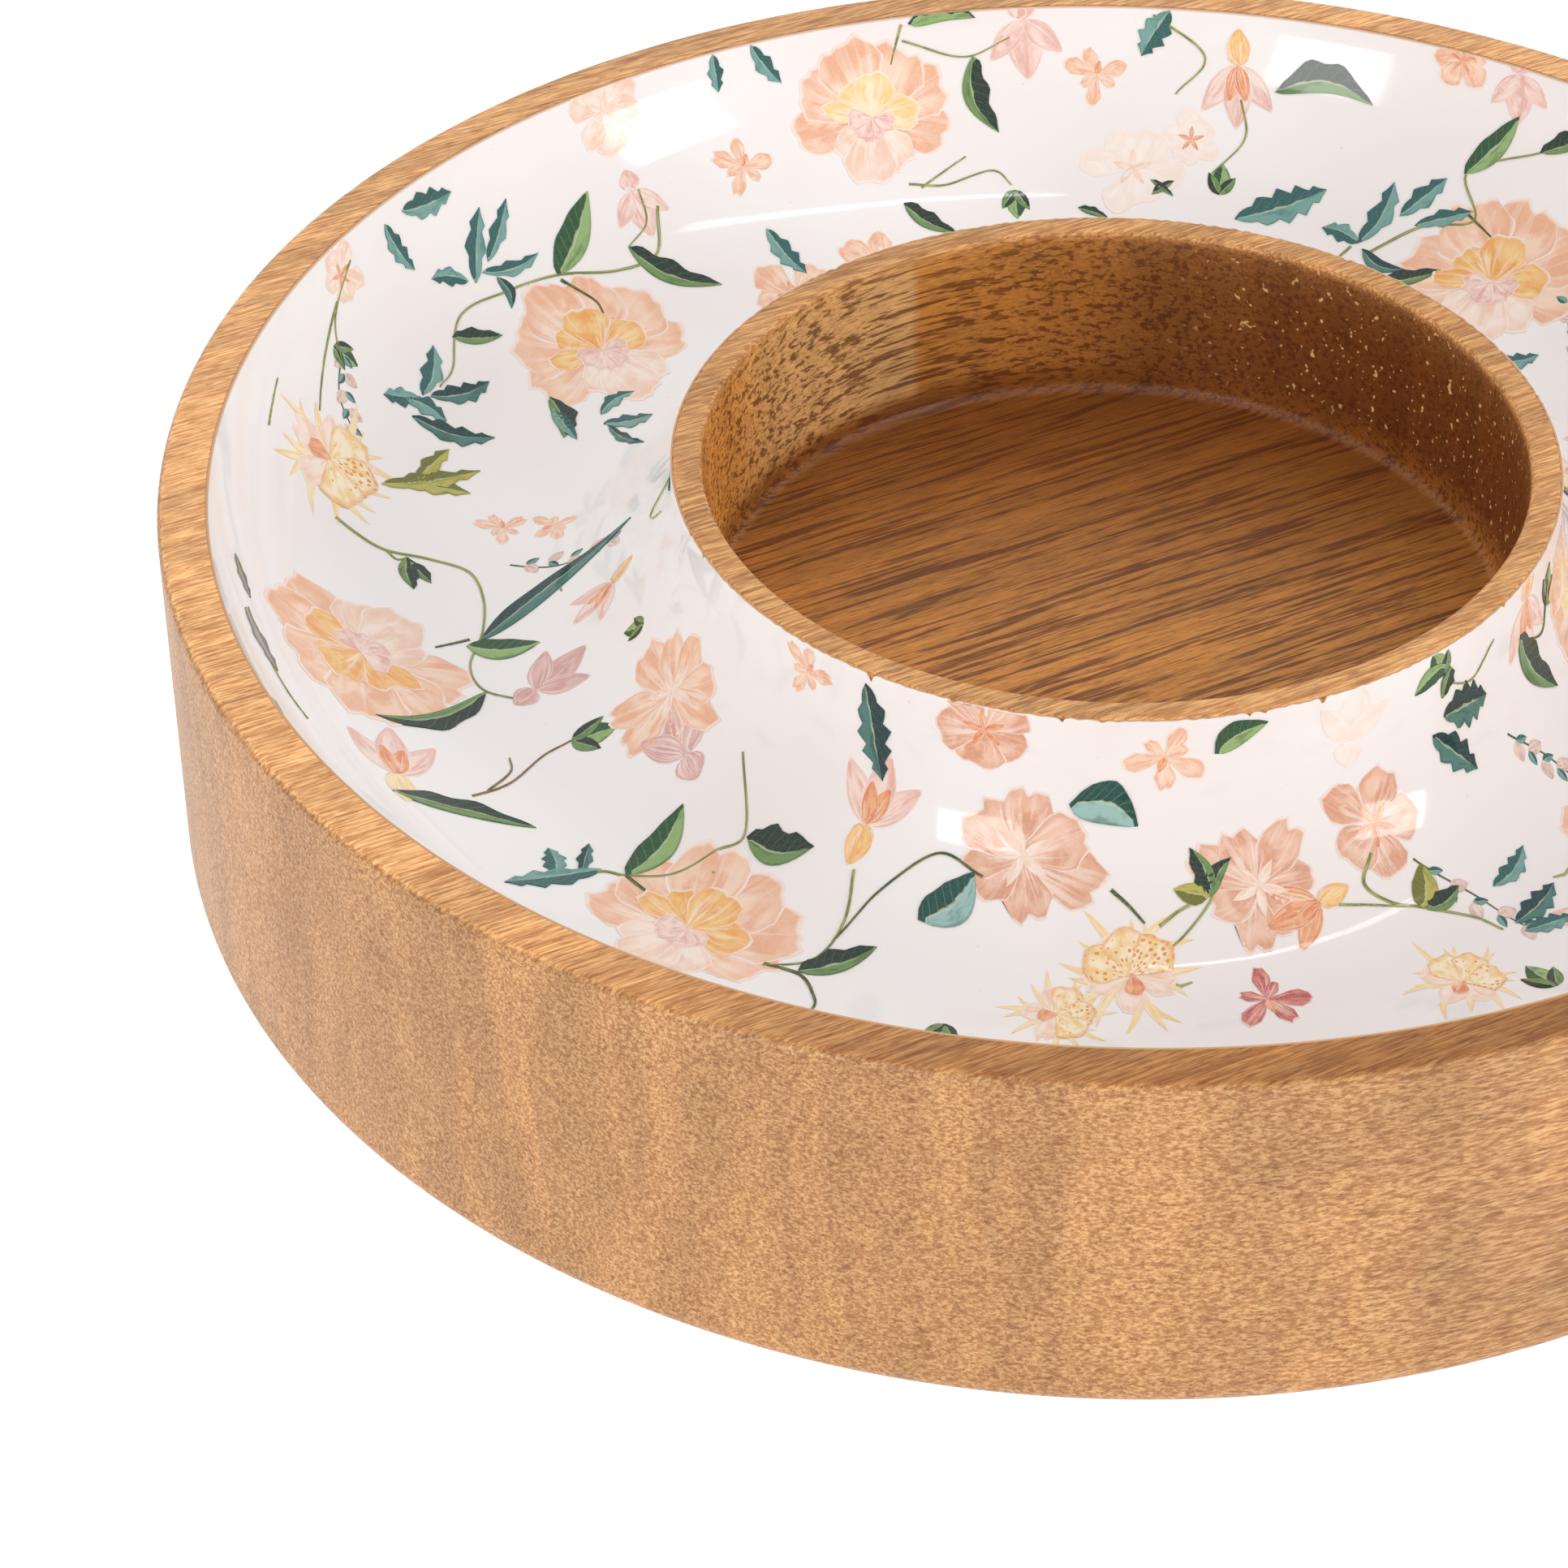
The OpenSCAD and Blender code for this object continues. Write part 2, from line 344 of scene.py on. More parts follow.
# The white lining: a closed skin between depth 0.05 mm and 0.9 mm, from the cup's rim to the plate's rim.
# Its upper edge at the cup is trimmed by hand: chips are peaks of a seeded sum of sines.
lining = {
    "white": paint(248, 245, 244), "shade": paint(244, 237, 235), "cut": paint(206, 160, 116), "roughness": 0.07, "ior": 1.5,
    "skinTop": 0.05 * mm, "columns": 1080, "chipDepth": 1.6 * mm, "wander": 0.40 * mm, "seed": 11,
}


def liningMaterial():
    m = newMaterial("whiteEnamel")
    place = addNode(m, "ShaderNodeTexCoord").outputs["Object"]
    cloud = noise(m, place, 14.0, 3, 0.5)
    color = mixColor(m, ramp(m, cloud, 0.35, 0.65), lining["white"], lining["shade"])
    flat = addNode(m, "ShaderNodeVectorMath", {0: place, 1: (1, 1, 0)}, operation="MULTIPLY").outputs[0]
    radius = addNode(m, "ShaderNodeVectorMath", {0: flat}, operation="LENGTH").outputs["Value"]
    cut = mathNode(m, "MAXIMUM", ramp(m, radius, plate["rimIn"] - 0.10 * mm, plate["rimIn"] + 0.06 * mm),
                   ramp(m, radius, plate["cupRadius"] - 0.07 * mm, plate["cupRadius"] - 0.12 * mm))
    color = mixColor(m, cut, color, lining["cut"])
    dust = noise(m, place, 900.0, 2, 0.6)
    color = mixColor(m, mathNode(m, "MULTIPLY", ramp(m, dust, 0.74, 0.80), 0.35), color, paint(196, 170, 150))
    wave = noise(m, place, 22.0, 2, 0.4)
    bump = addNode(m, "ShaderNodeBump", {"Height": wave, "Strength": 0.3, "Distance": 0.0004})
    finishMaterial(m, color=color, roughness=lining["roughness"], normal=bump.outputs[0], ior=lining["ior"])
    return m


trimRandom = np.random.default_rng(lining["seed"])
trimWaves = [(k, trimRandom.uniform(0.4, 1), trimRandom.uniform(0, 6.28)) for k in trimRandom.integers(30, 240, 22)]


# How far below the cup's rim the lining's upper edge is trimmed, by angle.
def cupTrim(angle):
    waves = sum(size * np.sin(k * angle + phase) for k, size, phase in trimWaves) / 7.5
    chips = np.clip(waves - 0.50, 0, 0.5) / 0.5
    return lining["wander"] * (1 + np.clip(waves, -1, 1)) / 2 + lining["chipDepth"] * chips ** 1.5


def liningSkin(material):
    angle = np.linspace(0, 2 * math.pi, lining["columns"], endpoint=False)
    drop = cupTrim(angle)
    t = np.concatenate([np.linspace(tCup, tFlank, 4)[:-1], np.linspace(tFlank, 0, 26)[:-1],
                        np.linspace(0, tRim, 32)])
    tGrid = np.repeat(t[:, None], len(angle), 1)
    tGrid[0] = tCup + drop
    tGrid[1] = np.maximum(tGrid[1], tGrid[0] + 0.3 * mm)
    outside = onChannel(angle[None, :], tGrid, -lining["skinTop"])
    inside = onChannel(angle[None, :], np.concatenate([tGrid[::-3], tGrid[:1]]), -plate["lining"] + 0.01 * mm)
    shell = np.concatenate([outside, inside, outside[:1]])
    rows = len(shell)
    faces = gridFaces(rows, len(angle), closed=True)
    skin = makePiece("white_lining", shell, faces[:, ::-1].tolist(), material, sharpAngle=40)
    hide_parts("ground_coat", "clear_coat")
    return skin


# The print: own watercolour flowers. Every patch of colour is a thin closed grid over (s, w), where s runs
# 0 to 1 from base to tip and w -1 to 1 across; it is drawn flat in millimetres and then bent onto the channel.
ink = {
    "lift": 0.03 * mm, "layer": 0.012 * mm, "root": 0.35 * mm, "cell": 1.3, "seed": 5,
    "peach": ((238, 178, 142), (250, 214, 188)), "palePeach": ((244, 204, 180), (252, 232, 218)),
    "salmon": ((222, 158, 126), (242, 200, 176)), "orange": ((240, 168, 82), (249, 206, 136)),
    "yellow": ((246, 208, 138), (252, 232, 190)), "pink": ((232, 178, 166), (248, 220, 208)),
    "mauve": ((214, 160, 156), (230, 190, 184)), "rose": ((188, 82, 76), (224, 142, 128)),
    "heart": ((226, 130, 80), (242, 176, 122)), "ghost": ((250, 230, 218), (252, 241, 234)),
    "dark": ((22, 46, 34), (112, 146, 84)), "green": ((30, 78, 42), (146, 178, 112)),
    "teal": ((36, 92, 90), (116, 164, 156)), "deepTeal": ((14, 58, 58), (74, 124, 116)),
    "sage": ((12, 74, 64), (156, 194, 188)), "olive": ((112, 112, 36), (186, 178, 84)),
    "grey": ((104, 96, 96), (166, 158, 148)), "bud": ((206, 166, 156), (232, 206, 194)),
    "stem": ((116, 126, 60), (168, 172, 106)), "darkStem": ((52, 70, 34), (116, 116, 58)),
    "brownStem": ((104, 84, 46), (146, 122, 72)),
}
patches = {"petal": [], "leaf": [], "stem": [], "dotted": []}
inkRandom = np.random.default_rng(ink["seed"])


def radiusAt(t):
    return np.hypot(*np.moveaxis(onChannel(0.0, t)[..., :2], -1, 0))


# angle, t: (rows, columns) arrays on the channel; the patch is a tube of its top and its root.
def layPatch(kind, angle, t, colors, level):
    rows, columns = t.shape
    t = np.clip(t, tCup + cupTrim(angle) + 0.1 * mm, tRim - 0.15 * mm)
    top = onChannel(angle, t, ink["lift"] + level * ink["layer"])
    root = onChannel(angle, t, -ink["root"])
    s = np.repeat(np.linspace(0, 1, rows)[:, None], 2 * columns, 1)
    w = np.concatenate([np.linspace(-1, 1, columns), np.linspace(1, -1, columns)])[None, :] + 0 * s
    grid = np.stack([s, w, 0 * s + inkRandom.uniform(0, 50)], -1)
    patches[kind].append((np.concatenate([top, root[:, ::-1]], 1), grid, colors))


# flat: (rows, columns, 2) in mm about the motif's own point; place: (angle, t, turn) in degrees, mm, degrees.
# The flat x runs round the ring and y towards the outer rim, after the turn.
def layFlat(kind, flat, place, colors, level):
    turn = math.radians(place[2])
    x, y = flat[..., 0] * mm, flat[..., 1] * mm
    t = place[1] * mm + x * math.sin(turn) + y * math.cos(turn)
    round_ = x * math.cos(turn) - y * math.sin(turn)
    limit = np.clip(t, tCup, tRim)
    layPatch(kind, math.radians(place[0]) + round_ / radiusAt(limit), t, ink[colors], level)


# Petal or leaf of a length and half width, pointing along +x from (x0, y0) turned by heading.
# petal: width rises as a quarter sine and the tip is half an ellipse with ruffles and a notch.
# leaf: width is a sine that closes at both ends, with swept teeth or waves.
def blade(length, half, heading, start=(0, 0), shape="petal", notch=0.0, teeth=0, ratio=1.0, bend=0.0, wavy=0.0):
    rows = int(max(6, length / ink["cell"] + 3, teeth * 5))
    columns = int(max(5, 2 * half / ink["cell"] + 2)) | 1
    s = np.linspace(0, 1, rows)[:, None]
    w = np.linspace(-1, 1, columns)[None, :]
    phase = inkRandom.uniform(0, 6.28, 3)
    if shape == "petal":
        wide = 0.13 + 0.87 * np.sin(np.pi / 2 * np.clip(s / 0.86, 0, 1)) ** 1.15
        tip = 0.40 * (1 - np.sqrt(1 - 0.97 * w ** 2)) * s
        ruffle = 0.040 * np.sin(5.2 * w + phase[0]) + 0.018 * np.sin(12 * w + phase[1]) * (1 + 8 * notch)
        x = length * s * (1 - tip + ruffle * s ** 2 - notch * np.exp(-((w - 0.1) / 0.16) ** 2) * s ** 5)
        y = half * w * wide * (1 + 0.06 * np.sin(5 * s + phase[1]) + 0.03 * np.sin(11 * s + phase[2]))
    else:
        wide = np.sin(np.pi * s ** 0.82) ** 0.85
        tooth = (s * teeth) % 1.0 if teeth else 0 * s
        wide = wide * (1 - 0.48 * tooth if teeth else 1 + wavy * np.sin(17 * s + phase[0]) * (w < 0))
        x = length * (s + (0.10 * np.abs(w) * wide if teeth else 0 * w))
        x = np.where((s == 0) | (s == 1), length * s, x)
        y = half * w * wide * np.where(w > 0, ratio, 1.0)
    y = y + bend * length * np.sin(np.pi * s)
    h = math.radians(heading)
    return np.stack([start[0] + x * math.cos(h) - y * math.sin(h),
                     start[1] + x * math.sin(h) + y * math.cos(h)], -1)


def leaf(color, angle1, t1, angle2, t2, width, bend=0.0, teeth=0, level=3):
    middle = float(radiusAt((t1 + t2) / 2 * mm)) / mm
    x, y = math.radians(angle2 - angle1) * middle, t2 - t1
    ratio = {"dark": 0.55, "green": 0.8, "sage": 1.0}.get(color, 0.9)
    wavy = 0.16 if color == "dark" else 0.04
    shape = blade(math.hypot(x, y), width / 2, 0, shape="leaf", teeth=teeth, ratio=ratio, bend=bend, wavy=wavy)
    layFlat("leaf", shape, (angle1, t1, math.degrees(math.atan2(y, x))), color, level)


# Stem: a smooth Catmull-Rom line through (angle, t) points, carried as a narrow ribbon that thins to its end.
def stem(points, width=0.7, color="stem", level=1):
    p = np.array(points, float)
    p = np.concatenate([2 * p[:1] - p[1:2], p, 2 * p[-1:] - p[-2:-1]])
    u = np.linspace(0, len(points) - 1.001, max(10, 9 * (len(points) - 1)))
    i = u.astype(int)
    f = (u - i)[:, None]
    a, b, c, d = p[i], p[i + 1], p[i + 2], p[i + 3]
    line = 0.5 * (2 * b + (c - a) * f + (2 * a - 5 * b + 4 * c - d) * f ** 2 + (3 * b - a - 3 * c + d) * f ** 3)
    t = line[:, 1] * mm
    size = radiusAt(np.clip(t, tCup, tRim))
    angle = np.radians(line[:, 0])
    step = np.stack([np.gradient(angle) * size, np.gradient(t)], -1)
    step = step / np.linalg.norm(step, axis=1, keepdims=True)
    half = 0.29 * width * mm * (1.15 - 0.5 * np.linspace(0, 1, len(u)))
    w = np.array([-1.0, 0.0, 1.0])
    layPatch("stem", angle[:, None] + (-step[:, 1] * half / size)[:, None] * w,
             t[:, None] + (step[:, 0] * half)[:, None] * w, ink[color], level)


# Blossom: a fan of broad outer petals, three orange inner petals, small petals below and a pale heart.
def blossom(place, size, outer="peach", inner="orange", heart="pink"):
    level = 1
    for heading, length, half in ((-14, 0.98, 0.33), (188, 0.94, 0.34), (152, 1.0, 0.36), (24, 0.96, 0.36),
                                  (112, 0.92, 0.38), (66, 0.98, 0.38)):
        layFlat("petal", blade(size * length, size * half, heading + inkRandom.uniform(-5, 5), notch=0.05),
                place, outer, level)
        level += 1
    for heading, length, half in ((-52, 0.62, 0.20), (236, 0.70, 0.25), (272, 0.80, 0.30)):
        layFlat("petal", blade(size * length, size * half, heading, notch=0.03), place, "palePeach", level)
        level += 1
    for heading, length, half in ((172, 0.58, 0.22), (44, 0.50, 0.19), (8, 0.62, 0.13), (100, 0.54, 0.26)):
        layFlat("petal", blade(size * length, size * half, heading + inkRandom.uniform(-6, 6)), place, inner, level)
        level += 1
    for heading in (200, 250, 300, 350):
        layFlat("petal", blade(size * 0.30, size * 0.13, heading + inkRandom.uniform(-12, 12), notch=0.12),
                place, heart, level)
        level += 1


# Open blossom of one colour: petals all round, with ragged tips and a few darker inner strokes.
def openBlossom(place, size, color="salmon", count=7, strokes=5, notch=0.10, slim=0.36):
    for k in range(count):
        heading = k * 360 / count + inkRandom.uniform(-9, 9)
        start = size * inkRandom.uniform(-0.07, 0.07, 2)
        layFlat("petal", blade(size * inkRandom.uniform(0.76, 1.06), size * slim * inkRandom.uniform(0.8, 1.15),
                               heading, start, notch=notch), place, color, 1 + k)
    for k in range(strokes):
        layFlat("petal", blade(size * 0.42, size * 0.07, k * 360 / strokes + 17, shape="leaf"), place,
                "heart" if count == 5 else "palePeach", count + 1 + k % 3)


def crossFlower(place, size, color="peach"):
    for level, (heading, length, half) in enumerate(((20, 1.0, 0.24), (75, 0.85, 0.22), (160, 0.95, 0.24),
                                                     (215, 0.6, 0.15), (285, 0.9, 0.2), (330, 0.55, 0.14))):
        layFlat("petal", blade(size * length, size * half, heading + inkRandom.uniform(-8, 8), notch=0.10),
                place, color, 1 + level)
    layFlat("petal", blade(size * 0.4, size * 0.1, 100, shape="leaf"), place, "heart", 8)


# Tulip on its side: pink outer petals with points, orange inner ones and a toothed orange foot.
def tulip(place, size, outer="pink", inner="orange"):
    level = 2
    for heading, length, half, color in ((128, 0.95, 0.20, outer), (52, 0.95, 0.20, outer), (90, 1.05, 0.24, outer),
                                         (104, 0.62, 0.13, "heart"), (76, 0.62, 0.13, "heart"),
                                         (-112, 0.36, 0.12, inner), (-68, 0.36, 0.12, inner),
                                         (-90, 0.62, 0.20, inner)):
        layFlat("petal", blade(size * length, size * half, heading, shape="leaf", ratio=1.0), place, color, level)
        level += 1


def tulipShade(place, size, color="mauve"):
    for level, (heading, length, half) in enumerate(((90, 1.0, 0.30), (135, 0.85, 0.20), (45, 0.85, 0.20),
                                                     (270, 0.45, 0.24))):
        layFlat("petal", blade(size * length, size * half, heading, shape="leaf", ratio=1.0), place, color, 1 + level)


# Seed-head flower: a round body of dots with long thin pale petals about it.
def dottedFlower(place, size):
    for k in range(15):
        layFlat("petal", blade(size * inkRandom.uniform(0.7, 1.05), size * 0.06, k * 24 + inkRandom.uniform(-9, 9),
                               shape="leaf", bend=inkRandom.uniform(-0.16, 0.16)), place, "yellow", 1 + k % 4)
    for k in range(5):
        layFlat("petal", blade(size * 0.62, size * 0.20, 20 + k * 72, notch=0.12), place, "palePeach", 5 + k)
    for level, heading in enumerate((200, 262, 318)):
        layFlat("dotted", blade(size * 0.62, size * 0.30, heading), place, "yellow", 10 + level)
    layFlat("petal", blade(size * 0.34, size * 0.14, 80), place, "heart", 14)


# Sprig of buds: a thin stem from one (angle, t) to another, with ovals on both sides.
def budSprig(angle1, t1, angle2, t2, count=5):
    stem([(angle1, t1), ((angle1 + angle2) / 2 + 1, (t1 + t2) / 2), (angle2, t2)], 0.5, "darkStem")
    side = 1
    for f in np.linspace(0.15, 1, count):
        a, t = angle1 + (angle2 - angle1) * f, t1 + (t2 - t1) * f
        way = math.degrees(math.atan2(t2 - t1, math.radians(angle2 - angle1) * 100))
        layFlat("petal", blade(3.4, 1.2, way + side * 48, shape="leaf", ratio=1.0), (a, t, 0), "bud", 2)
        layFlat("leaf", blade(2.6, 0.7, way - side * 40, shape="leaf"), (a, t, 0), "teal", 3)
        side = -side


def greenBud(place, size, color="dark"):
    for level, (heading, length, half) in enumerate(((90, 1.0, 0.30), (125, 0.75, 0.18), (60, 0.8, 0.18))):
        layFlat("leaf", blade(size * length, size * half, heading, shape="leaf"), place,
                ("green", color, color)[level], 2 + level)


# Where the print's flowers lie: angle in degrees round the ring from +x, and t in mm from the lowest ring.
bloomPlan = [
    # angle, t, turn, size, inner colour
    (141.5, 15, 8, 17.5, "orange"), (190.5, 21, -60, 19, "orange"), (233, 1, 178, 17.5, "orange"),
    (110, 41, 10, 15.5, "yellow"), (57, 20, -20, 18, "orange"), (12, -4, 150, 17, "orange"),
    (338, 20, 30, 18, "orange"), (28, 40, 60, 15.5, "yellow"), (262, 36, 190, 16, "yellow"),
    (302, 44, 160, 16, "orange"), (82, -18, 20, 15, "orange"), (352, -34, 95, 14, "yellow"),
]
openPlan = [
    # angle, t, turn, size, colour, petals, notch, half width
    (261.5, -28, 20, 12.5, "salmon", 7, 0.12, 0.34), (209, -27, 40, 13, "peach", 8, 0.08, 0.28),
    (287.5, -23, 0, 11, "salmon", 7, 0.10, 0.34), (302.5, -28, 10, 9, "salmon", 5, 0.03, 0.40),
    (255.5, -47, 30, 8.5, "salmon", 5, 0.03, 0.42), (158.5, 53, 0, 6, "palePeach", 5, 0.03, 0.4),
    (121.5, 10, 0, 8.5, "peach", 5, 0.03, 0.4), (112.5, 12, 40, 8, "peach", 6, 0.05, 0.34),
    (89.5, 29, 0, 9, "ghost", 6, 0.05, 0.34), (85, 35, 0, 6, "ghost", 5, 0.05, 0.4),
    (131, 54, 20, 9, "palePeach", 6, 0.05, 0.36), (65.5, 57, 0, 6, "peach", 5, 0.03, 0.4),
    (37, -30, 0, 10, "salmon", 5, 0.03, 0.4), (20, 18, 70, 9, "peach", 6, 0.06, 0.34),
    (322, 52, 0, 9, "salmon", 5, 0.03, 0.4), (238, 44, 0, 9, "palePeach", 6, 0.05, 0.34),
    (283, 20, 0, 11, "salmon", 7, 0.12, 0.34), (98, -38, 0, 9, "salmon", 5, 0.03, 0.4),
    (140, -34, 0, 10, "palePeach", 6, 0.05, 0.34), (328, -8, 0, 9, "peach", 5, 0.03, 0.4),
    (60, -38, 0, 9, "peach", 6, 0.05, 0.36),
]
crossPlan = [
    (277.5, -44.5, 10, 7, "peach"), (230.5, -46, 200, 5.5, "peach"), (121, 37, 20, 6.5, "peach"),
    (92.5, 46, 0, 6.5, "peach"), (168.5, 3, 60, 5, "peach"), (167, -5, -50, 5, "peach"),
    (285.5, -5, -20, 7, "rose"), (45, 44, 0, 6.5, "peach"), (5, 30, 0, 6, "rose"), (345, 3, 0, 6, "peach"),
    (216, 44, 0, 6, "rose"), (275, 48, 30, 6, "peach"), (48, -12, 0, 6, "peach"), (24, -44, 0, 6, "peach"),
    (122, -20, 0, 6, "rose"), (358, 52, 0, 6, "peach"),
]
tulipPlan = [
    (243, -27, 185, 11, "pink", "orange"), (206, 21, 100, 13, "pink", "yellow"), (82, 49, 175, 11, "pink", "orange"),
    (183, -22, -35, 9, "pink", "orange"), (293.5, -19, 75, 9, "heart", "orange"), (334.5, -47, 0, 11, "pink", "orange"),
    (35, 6, 200, 11, "pink", "orange"), (316, 30, 120, 12, "pink", "yellow"), (228, 28, 60, 11, "pink", "orange"),
    (18, 52, 150, 10, "pink", "orange"), (70, -44, 20, 10, "pink", "orange"), (108, -8, 90, 10, "pink", "yellow"),
    (3, -46, 30, 10, "pink", "orange"), (248, 52, 200, 10, "pink", "yellow"),
]
shadePlan = [
    (195, -7, 150, 11, "mauve"), (217, -22, 110, 12, "mauve"), (130.5, 39, 180, 9, "pink"), (98, 56, 175, 11, "pink"),
    (61, 57, 170, 9, "pink"), (301, -42, 190, 10, "ghost"), (42, 28, 100, 11, "mauve"), (350, 36, 20, 11, "mauve"),
    (272, 12, 70, 10, "mauve"), (318, 4, 140, 10, "pink"), (15, -26, 40, 10, "mauve"), (150, -44, 0, 10, "mauve"),
    (221, 55, 180, 9, "pink"),
]
dottedPlan = [
    (171, 34, 0, 15), (273.5, -11, 0, 12), (267, -3, 90, 9), (302.5, 1, 60, 10), (30, -14, 0, 13),
    (325, 36, 30, 14), (249, 22, 0, 13), (2, 12, 0, 12), (92, -2, 0, 12), (45, 56, 0, 10),
]
